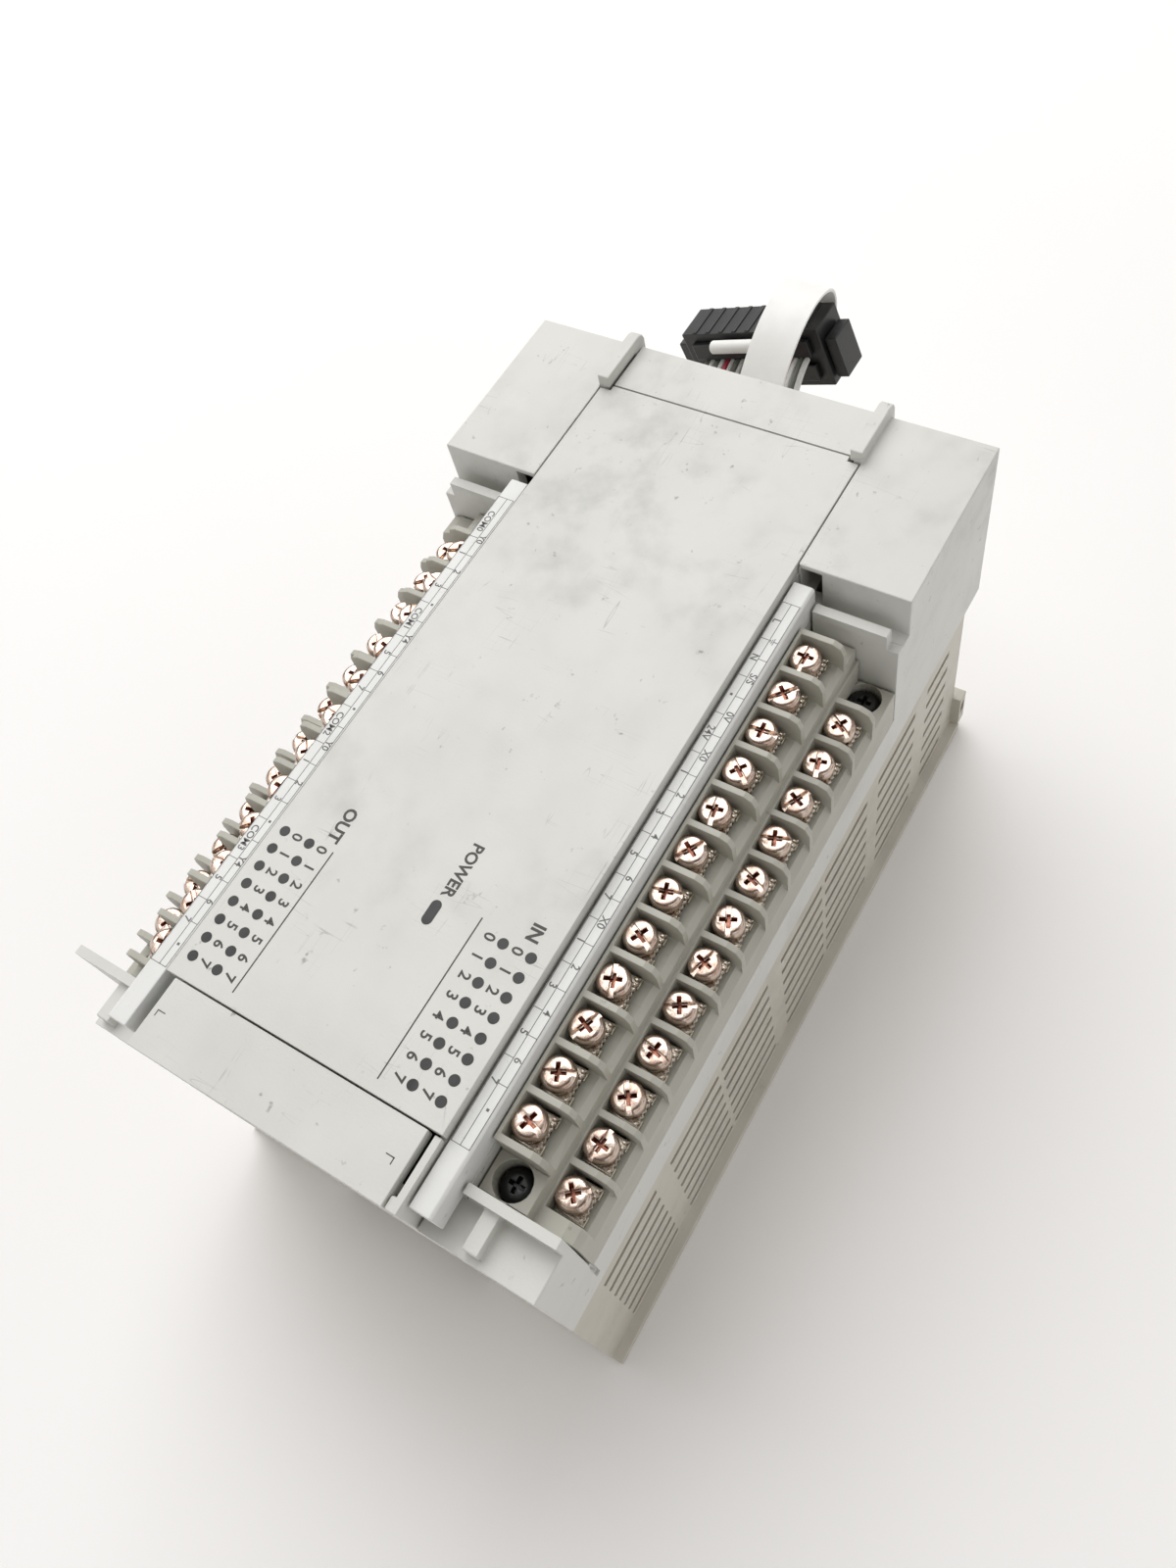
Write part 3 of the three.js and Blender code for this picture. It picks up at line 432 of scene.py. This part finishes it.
def cut_head(profile, height, cross, slot_width, outside, inside):
    bm = bmesh.new()
    turn_profile(bm, profile)
    head = to_object("head", bm, [outside])
    cutters = [
        tapered_cutter(cross, CROSS_HALF_WIDTH, height, CROSS_DEPTH, CROSS_TAPER, inside),
        tapered_cutter(CROSS_HALF_WIDTH, cross, height, CROSS_DEPTH, CROSS_TAPER, inside)]
    if slot_width:
        cutters.append(
            tapered_cutter(SLOT_HALF_LENGTH, slot_width / 2, height, SLOT_DEPTH, 1.0, outside))
    for cutter in cutters:
        boolean = head.modifiers.new("recess", "BOOLEAN")
        boolean.operation = "DIFFERENCE"
        boolean.object = cutter
        boolean.material_mode = "TRANSFER"
    soften = head.modifiers.new("edge", "BEVEL")
    soften.width = 0.07 * MM
    soften.segments = 2
    soften.angle_limit = radians(40)
    bpy.context.view_layer.update()
    return settled([head, *cutters])


HEAD_HEIGHT = 2.2
HEAD_PROFILE = [(0, 0), (2.45, 0), (2.58, 0.12), (2.6, 1.5), (2.5, 1.85), (2.25, 2.08),
                (1.9, 2.18), (0, HEAD_HEIGHT)]
head_mesh = cut_head(HEAD_PROFILE, HEAD_HEIGHT, 1.75, 0.85, NICKEL, RECESS)
print("screw head faces:", len(head_mesh.polygons), [m.name for m in head_mesh.materials])

# %% [markdown]
# ## Washers
# Under each head sits a split spring washer, and under that a square washer whose outer edge is
# serrated to bite the wire. The spring washer is a ring with a gap whose ends stand apart. The
# square washer is one outline with a scalloped edge, and a row of raised teeth.

# %% Washer meshes
def spring_washer():
    bm = bmesh.new()
    steps = 36
    sections = []
    for step in range(steps + 1):
        angle = radians(8) + (2 * pi - radians(16)) * step / steps
        lift = 0.2 * step / steps
        corners = [(1.5, lift), (2.35, lift), (2.35, lift + 0.6), (1.5, lift + 0.6)]
        sections.append([bm.verts.new((r * cos(angle) * MM, r * sin(angle) * MM, z * MM))
                         for r, z in corners])
    for here, ahead in zip(sections, sections[1:]):
        for i in range(4):
            j = (i + 1) % 4
            bm.faces.new((here[i], here[j], ahead[j], ahead[i]))
    bm.faces.new(sections[0])
    bm.faces.new(sections[-1][::-1])
    return settled([to_object("spring", bm, [])])


def square_washer():
    bm = bmesh.new()
    teeth = 6
    half = 2.72
    outer = []
    for step in range(4 * teeth + 1):
        x = half - 2 * half * step / (4 * teeth)
        outer.append((x, 2.55 + 0.15 * cos(2 * pi * step / 4)))
    push_outline(bm, [(-half + 0.3, -1.9), (half - 0.3, -1.9), (half, -1.6), *outer,
                      (-half, -1.6)], 0, 0.7)
    for tooth in range(teeth):
        x = -half + 2 * half * (tooth + 0.5) / teeth
        push_outline(bm, box_outline((x - 0.28, x + 0.28), (1.95, 2.5)), 0.6, 1.05)
    washer = to_object("square", bm, [])
    edge = washer.modifiers.new("edge", "BEVEL")
    edge.width = 0.09 * MM
    edge.segments = 2
    bpy.context.view_layer.update()
    return settled([washer])


spring_mesh = spring_washer()
square_mesh = square_washer()
print("washer faces:", len(spring_mesh.polygons), len(square_mesh.polygons))

# %% [markdown]
# ## Rows of screws and plates
# Each tier has twelve terminals, 7.62 mm apart. A row starts at the centre of its CAD node's first
# screw. The heads are turned by steps of the golden angle, so that no two neighbours line up, as
# on screws that were driven by hand. The contact plate has a tail up behind the head.

# %% Terminal rows
PITCH = 7.62
TERMINALS = 12
GOLDEN_ANGLE = radians(137.5)
WASHER_HALF = 2.75  # the CAD row starts this far before the first screw's centre
WASHER_INNER = 1.9  # and this far towards the middle of the case
SPRING_DROP = 3.0  # from the head's top to the spring washer's base
SQUARE_DROP = 3.75
PLATE_DROP = 5


def row_frame(side, tier):
    low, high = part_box(f"terminal_screws_{side}_{tier}")
    outwards = 1 if side == "in" else -1
    first = low.x / MM + WASHER_HALF
    edge = (low.y if outwards > 0 else high.y) / MM
    top = high.z / MM
    return first, edge + outwards * WASHER_INNER, top, outwards


def screw_row(side, tier, turn_start):
    first, y, top, outwards = row_frame(side, tier)
    screws, washers = bmesh.new(), bmesh.new()
    for index in range(TERMINALS):
        x = first + PITCH * index
        turn = Matrix.Rotation(turn_start + GOLDEN_ANGLE * index, 4, "Z")
        head_place = Matrix.Translation(Vector((x, y, top - HEAD_HEIGHT)) * MM)
        spring_place = Matrix.Translation(Vector((x, y, top - SPRING_DROP)) * MM)
        stamp(screws, head_mesh, head_place @ turn)
        stamp(screws, spring_mesh, spring_place @ turn)
        facing = Matrix.Rotation(0 if outwards > 0 else pi, 4, "Z")
        square_place = Matrix.Translation(Vector((x, y, top - SQUARE_DROP)) * MM)
        stamp(washers, square_mesh, square_place @ facing)
    body = f"{side}_block"
    heads = to_object(f"pan_head_screws_{side}_{tier}", screws, [NICKEL, RECESS])
    install(heads, body, "nickel_plate", f"terminal_screws_{side}_{tier}")
    install(to_object(f"square_washers_{side}_{tier}", washers, [WASHER]), body, "nickel_plate")


def plate_row(side, tier):
    first, y, top, outwards = row_frame(side, tier)
    floor = top - PLATE_DROP
    bm = bmesh.new()
    for index in range(TERMINALS):
        x = first + PITCH * index
        outline = [(-2.9, -2.8), (2.9, -2.8), (2.9, 2.7), (1.3, 2.7), (1.3, -1.3), (-1.3, -1.3),
                   (-1.3, 2.7), (-2.9, 2.7)]
        push_outline(bm, [(x + u, y + outwards * v) for u, v in outline], floor + 0.2, floor + 1.0)
        tail = sorted((y - outwards * 2.85, y - outwards * 2.4))
        push_outline(bm, box_outline((x - 2.5, x + 2.5), tail), floor + 0.9, floor + 2.9)
    plates = to_object(f"forked_plates_{side}_{tier}", bm, [TIN])
    edge = plates.modifiers.new("edge", "BEVEL")
    edge.width = 0.08 * MM
    edge.segments = 2
    install(plates, f"{side}_block", "tinned_brass", f"contact_plates_{side}_{tier}")


for number, (side, tier) in enumerate((s, t) for s in ("in", "out") for t in ("upper", "lower")):
    screw_row(side, tier, number)
    plate_row(side, tier)

# %% [markdown]
# ## Block screws
# Two captive screws hold each terminal block. They are larger, black and sunk beside the rows, with
# the same kind of recess but no slot.

# %% Black screws
BLOCK_HEAD_HEIGHT = 4
BLOCK_HEAD_PROFILE = [(1.3, 0.3), (2.45, 0.3), (2.6, 0.45), (2.6, 3.0), (2.4, 3.55), (1.9, 3.9),
                      (1.3, BLOCK_HEAD_HEIGHT), (0, BLOCK_HEAD_HEIGHT)]
for tier, shank in (("upper", 9), ("lower", 3.2)):
    profile = [(0, -shank), (1.3, -shank), *BLOCK_HEAD_PROFILE]
    block_head = cut_head(profile, BLOCK_HEAD_HEIGHT, 1.6, 0, BLACK, BLACK)
    for side in ("in", "out"):
        low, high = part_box(f"block_screw_{side}_{tier}")
        middle = (low + high) / 2
        bm = bmesh.new()
        stamp(bm, block_head, Matrix.Translation(
            (middle.x, middle.y, high.z - BLOCK_HEAD_HEIGHT * MM)))
        screw = to_object(f"captive_screw_{side}_{tier}", bm, [BLACK])
        install(screw, f"{side}_block", "black_pbt", f"block_screw_{side}_{tier}")
print("black screw faces:", len(block_head.polygons))

# %% [markdown]
# ## Windows
# Each lamp shows through a round window, 1.75 mm across. The lens is a thin disc that covers the
# panel's hole and stands 0.03 mm proud of it. The power window is a stadium.

# %% Lenses
PANEL_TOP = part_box("front_panel")[1].z / MM
LAMP_PITCH = 3.28
LAMP_FIRST = 36.9
LAMP_ROWS = (17.9, 22.7, -23.1, -18.2)
LENS_RADIUS = 0.87
POWER_LENS = (37.6, 5.7, 1.2)


def lens(bm, x, y, half_length):
    outline = []
    for step in range(24):
        angle = -pi / 2 + 2 * pi * (step + 0.5) / 24
        shift = half_length if cos(angle) > 0 else -half_length
        outline.append((x + shift + LENS_RADIUS * cos(angle), y + LENS_RADIUS * sin(angle)))
    push_outline(bm, outline, PANEL_TOP - 0.2, PANEL_TOP + 0.03)


bm = bmesh.new()
for y in LAMP_ROWS:
    for index in range(8):
        lens(bm, LAMP_FIRST + LAMP_PITCH * index, y, 0)
lens(bm, *POWER_LENS)
install(to_object("indicator_lenses", bm, [LENS]), "case", "smoked_lens")
print("lenses:", 8 * len(LAMP_ROWS) + 1)

# %% [markdown]
# ## Print
# Panel and label strips are pad-printed. Each word is Blender text turned to a mesh 0.02 mm thick,
# and all words of one surface become one piece. Lines are thin bars. Only generic marks are drawn.

# %% Print helpers
INK_HEIGHT = 0.02
word_meshes = {}


def write(bm, words, x, y, z, size, weight):
    key = (words, size, weight)
    if key not in word_meshes:
        text = bpy.data.curves.new("words", "FONT")
        text.body = words
        text.size = size * MM
        text.align_x = "CENTER"
        text.align_y = "CENTER"
        text.offset = weight * MM
        text.extrude = INK_HEIGHT / 2 * MM
        text.resolution_u = 3
        holder = bpy.data.objects.new("words", text)
        bpy.context.scene.collection.objects.link(holder)
        bpy.context.view_layer.update()
        word_meshes[key] = settled([holder])
    stamp(bm, word_meshes[key], Matrix.Translation(Vector((x, y, z)) * MM))


def rule(bm, x, y, z, thickness=0.16):
    grow = thickness / 2
    outline = box_outline((x[0] - grow, x[1] + grow), (y[0] - grow, y[1] + grow))
    push_outline(bm, outline, z - INK_HEIGHT / 2, z + INK_HEIGHT / 2)


bm = bmesh.new()
ink = PANEL_TOP + INK_HEIGHT / 2
for y in (15.5, 20.3, -20.7, -15.8):
    for index in range(8):
        write(bm, str(index), LAMP_FIRST + LAMP_PITCH * index, y, ink, 2.5, 0.05)
write(bm, "IN", 33.4, 21.2, ink, 2.9, 0.09)
write(bm, "OUT", 32.0, -15.3, ink, 2.9, 0.09)
write(bm, "POWER", 29.9, 6.1, ink, 2.7, 0.07)
rule(bm, (35.0, 61.4), (13.0, 13.0), ink, 0.22)
rule(bm, (36.5, 61.4), (-13.8, -13.8), ink, 0.22)
install(to_object("panel_print", bm, [INK]), "case", "smoked_lens")
print("panel print done")

# %% [markdown]
# ## Label strips
# A strip names the terminals beside it. It is ruled in two halves, and the names alternate between
# them as the screws alternate between the two tiers. The cells keep the pitch of the screws.

# %% Label print
INNER_IN = ["L", "N", "•", "24V", "1", "3", "5", "7", "1", "3", "5", "7"]
OUTER_IN = ["⏚", "S/S", "0V", "X0", "2", "4", "6", "X0", "2", "4", "6", "•"]
INNER_OUT = ["Y0", "2", "•", "Y4", "6", "•", "Y0", "2", "•", "Y4", "6", "•"]
OUTER_OUT = ["COM0", "1", "3", "COM1", "5", "7", "COM2", "1", "3", "COM3", "5", "7"]
LABEL_START = -34.0
LABEL_FINISH = 63.2
LABEL_RULES = {"in": (26.0, 27.5, 29.0), "out": (26.1, 27.4, 29.2)}


def earth_sign(bm, x, y, z):
    rule(bm, (x, x), (y, y + 0.6), z, 0.12)
    for step, half in enumerate((0.6, 0.4, 0.2)):
        rule(bm, (x - half, x + half), (y - 0.28 * step, y - 0.28 * step), z, 0.1)


def label_half(bm, names, first, y, tick, z):
    for index, name in enumerate(names):
        x = first + PITCH * index
        if name == "⏚":
            earth_sign(bm, x, y, z)
        elif name == "•":
            rule(bm, (x, x), (y, y), z, 0.42)
        else:
            write(bm, name, x, y, z, 1.7, 0.02)
        if index > 0:
            rule(bm, (x - PITCH / 2, x - PITCH / 2), tick, z, 0.1)


def label_print(side, inner, inner_first, outer, outer_first):
    sign = 1 if side == "in" else -1
    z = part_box(f"label_bar_{side}")[1].z / MM + INK_HEIGHT / 2
    edges = [sign * value for value in LABEL_RULES[side]]
    bm = bmesh.new()
    for edge in edges:
        rule(bm, (LABEL_START, LABEL_FINISH), (edge, edge), z, 0.1)
    for end in (LABEL_START, LABEL_FINISH):
        rule(bm, (end, end), sorted((edges[0], edges[2])), z, 0.1)
    label_half(bm, inner, inner_first, sign * 26.75, sorted(edges[:2]), z)
    label_half(bm, outer, outer_first, sign * 28.25, sorted(edges[1:]), z)
    piece = to_object(f"label_print_{side}", bm, [LABEL_INK])
    install(piece, "case", "label_strip")


label_print("in", INNER_IN, -30.2, OUTER_IN, -26.3)
label_print("out", INNER_OUT, -24.4, OUTER_OUT, -28.3)
print("label print done")

# %% [markdown]
# ## Marks on the end cover
# The lift-off cover over the extension socket carries two small corner marks that show where to
# press. They are drawn as thin dark lines on its top.

# %% Press marks
bm = bmesh.new()
for x, y, way in ((69.3, -22.3, 1), (69.5, 21.3, -1)):
    rule(bm, (x - 0.45, x + 0.45), (y, y), PANEL_TOP + 0.01, 0.16)
    rule(bm, (x - 0.45, x - 0.45), sorted((y, y + way * 1.3)), PANEL_TOP + 0.01, 0.16)
install(to_object("press_marks", bm, [INK]), "connector_lid", "case_abs")
print("press marks done")

# %% [markdown]
# ## Ribbon cable
# Twenty wires, 1.25 mm apart, leave the port side by side and roll a little on their way to the
# plug. Each wire is a round tube along the same eased curve that the CAD solid follows, and a thin
# web joins them. The colours alternate, with a red wire here and there.

# %% Ribbon
PLUG_CENTRE = Vector((-100.5, -11.8, 69.1))
PLUG_ROLL = 0.33
CABLE_START = Vector((-72.3, -9.8, 66.0))
CABLE_END = Vector((-96.2, -11.8, 69.1))
WIRES = 20
WIRE_PITCH = 1.25
CABLE_STEPS = 24


def cable_point(t, u, w):
    ease = t * t * (3 - 2 * t)
    x = CABLE_START.x + (CABLE_END.x - CABLE_START.x) * t
    y = CABLE_START.y + (CABLE_END.y - CABLE_START.y) * ease
    z = CABLE_START.z + (CABLE_END.z - CABLE_START.z) * ease - 2.2 * sin(pi * t)
    roll = PLUG_ROLL * ease
    return Vector((x, y + u * cos(roll) - w * sin(roll), z + u * sin(roll) + w * cos(roll))) * MM


def sweep(bm, ring_at, steps, material_index):
    rings = [[bm.verts.new(p) for p in ring_at(step / steps)] for step in range(steps + 1)]
    count = len(rings[0])
    faces = [bm.faces.new(rings[0][::-1]), bm.faces.new(rings[-1])]
    for here, ahead in zip(rings, rings[1:]):
        for i in range(count):
            j = (i + 1) % count
            faces.append(bm.faces.new((here[i], here[j], ahead[j], ahead[i])))
    for face in faces:
        face.material_index = material_index


def round_ring(u0, radius, sides=10):
    angles = [2 * pi * side / sides for side in range(sides)]
    return lambda t: [cable_point(t, u0 + radius * cos(a), radius * sin(a)) for a in angles]


bm = bmesh.new()
half_ribbon = WIRE_PITCH * (WIRES - 1) / 2
for wire in range(WIRES):
    colour_index = 2 if wire in (4, 9, 16) else wire % 2
    sweep(bm, round_ring(wire * WIRE_PITCH - half_ribbon, 0.58), CABLE_STEPS, colour_index)
web = [(-half_ribbon, -0.1), (half_ribbon, -0.1), (half_ribbon, 0.1), (-half_ribbon, 0.1)]
sweep(bm, lambda t: [cable_point(t, u, w) for u, w in web], CABLE_STEPS, 1)
ribbon = to_object("ribbon_wires", bm, [WIRE_GREY, WIRE_WHITE, WIRE_RED])
install(ribbon, "case", "cable_pvc", "ribbon_cable")
print("wires:", WIRES)

# %% [markdown]
# ## On the plug
# The plug's well holds twenty spring contacts. Behind it two clamp bars grip the ribbon, and a roll
# of white tape pads it. Nine ribs on top give a grip.

# %% Plug details
def plug_box(bm, x, u, w):
    def corner(at, a, b):
        y = PLUG_CENTRE.y + a * cos(PLUG_ROLL) - b * sin(PLUG_ROLL)
        z = PLUG_CENTRE.z + a * sin(PLUG_ROLL) + b * cos(PLUG_ROLL)
        return bm.verts.new(Vector((at, y, z)) * MM)
    near = [corner(x[0], a, b) for a, b in box_outline(u, w)]
    far = [corner(x[1], a, b) for a, b in box_outline(u, w)]
    bm.faces.new(near)
    bm.faces.new(far[::-1])
    for i in range(4):
        j = (i + 1) % 4
        bm.faces.new((near[i], far[i], far[j], near[j]))


bm = bmesh.new()
for index in range(10):
    for row in (-1.27, 1.27):
        u = 2.54 * (index - 4.5)
        plug_box(bm, (-102.6, -99.2), (u - 0.45, u + 0.45), (row - 0.45, row + 0.45))
install(to_object("plug_contacts", bm, [TIN]), "case", "tinned_brass")

bm = bmesh.new()
plug_box(bm, (-96.5, -95.4), (-13.6, 13.6), (1.0, 4.6))
plug_box(bm, (-96.5, -95.4), (-13.6, 13.6), (-4.6, -1.0))
for rib in range(9):
    u = -12.8 + 3.2 * rib
    plug_box(bm, (-104.4, -96.6), (u - 0.5, u + 0.5), (6.4, 6.75))
clamp = to_object("cable_clamp", bm, [BLACK])
clamp_edge = clamp.modifiers.new("edge", "BEVEL")
clamp_edge.width = 0.15 * MM
clamp_edge.segments = 2
install(clamp, "case", "black_pbt")

bm = bmesh.new()
turn_profile(bm, [(0, -6), (1.15, -6), (1.3, -5.8), (1.3, 5.8), (1.15, 6), (0, 6)], 20)
across = Matrix.Rotation(PLUG_ROLL, 4, "X") @ Matrix.Rotation(-pi / 2, 4, "X")
bmesh.ops.transform(bm, verts=bm.verts,
                    matrix=Matrix.Translation(Vector((-94.0, -14.6, 73.6)) * MM) @ across)
install(to_object("tape_roll", bm, [TAPE]), "case", "pull_tape")
print("plug details done")

# %% [markdown]
# ## Pull tab
# One band of white film, 0.6 mm thick, loops up over the plug and down behind it. Its side view is
# a smooth curve through a few points, and its section is a flat strip with thin edges.

# %% Tab
TAB_PROFILE = [(-106.2, 73.5), (-106.6, 79), (-104.4, 82.6), (-99, 84), (-92, 82.4), (-85, 77.6),
               (-80, 71.6), (-77.6, 67.2)]
TAB_SIDES = (-8.5, 0.5)
TAB_THICKNESS = 0.6
TAB_EDGE = 0.15


# A smooth curve through the points: each stretch is a cubic that keeps its neighbours' direction.
def through(points, t):
    place = t * (len(points) - 1)
    k = min(int(place), len(points) - 2)
    f = place - k
    p0, p1 = Vector(points[max(k - 1, 0)]), Vector(points[k])
    p2, p3 = Vector(points[k + 1]), Vector(points[min(k + 2, len(points) - 1)])
    return 0.5 * (2 * p1 + (p2 - p0) * f + (2 * p0 - 5 * p1 + 4 * p2 - p3) * f * f
                  + (3 * p1 - p0 - 3 * p2 + p3) * f ** 3)


def tab_ring(t):
    here = through(TAB_PROFILE, t)
    along = (through(TAB_PROFILE, min(t + 0.01, 1)) - through(TAB_PROFILE, max(t - 0.01, 0)))
    normal = Vector((-along.y, along.x)).normalized() * TAB_THICKNESS
    low, high = TAB_SIDES
    corners = [(low, 0.5), (low + TAB_EDGE, 0), (high - TAB_EDGE, 0), (high, 0.5),
               (high - TAB_EDGE, 1), (low + TAB_EDGE, 1)]
    return [Vector((here.x + normal.x * share, y, here.y + normal.y * share)) * MM
            for y, share in corners]


bm = bmesh.new()
sweep(bm, tab_ring, 44, 0)
install(to_object("film_pull_tab", bm, [TAPE]), "case", "pull_tape", "pull_tab")
print("pull tab done")

# %% [markdown]
# ## Floor and light
# A pale, matt floor with a large soft light high over the corner of the output side and the cable
# end leaves the input side and the socket end in gentle shade. The surround is a mix of bright and
# brown patches, as a room is, so that the plated screws have something to reflect.

# %% Studio
def studio_floor():
    material, tree, surface, where = start_material("studio_floor", Roughness=0.7)
    tint = patches(tree, where, 400 * MM, 0.3, 0.7)
    tree.links.new(paint(tree, linear("#FCFBFA"), "#F8F7F6", tint), surface.inputs["Base Color"])
    return material


bm = bmesh.new()
push_outline(bm, box_outline((-3000, 3000), (-3000, 3000)), -20, -0.05)
floor = to_object("floor", bm, [studio_floor()])


def area_light(name, place, target, size, watts):
    data = bpy.data.lights.new(name, "AREA")
    data.size = size
    data.energy = watts
    light = bpy.data.objects.new(name, data)
    bpy.context.scene.collection.objects.link(light)
    facing = (Vector(target) - Vector(place)).to_track_quat("-Z", "Y")
    light.matrix_world = Matrix.Translation(place) @ facing.to_matrix().to_4x4()


area_light("key", (-0.75, -0.8, 1.5), (0, 0, 0.05), 1.8, 27)
world = bpy.data.worlds.new("surround")
world.use_nodes = True
tree = world.node_tree
direction = add(tree, "ShaderNodeTexCoord", {}, {}).outputs["Generated"]
panels = patches(tree, direction, 0.55, 0.44, 0.54, 1)
room = paint(tree, linear("#5E5148"), "#FFFFFF", panels)
tree.links.new(room, tree.nodes["Background"].inputs["Color"])
tree.nodes["Background"].inputs["Strength"].default_value = 0.95
bpy.context.scene.world = world
bpy.context.scene.view_settings.view_transform = "Standard"
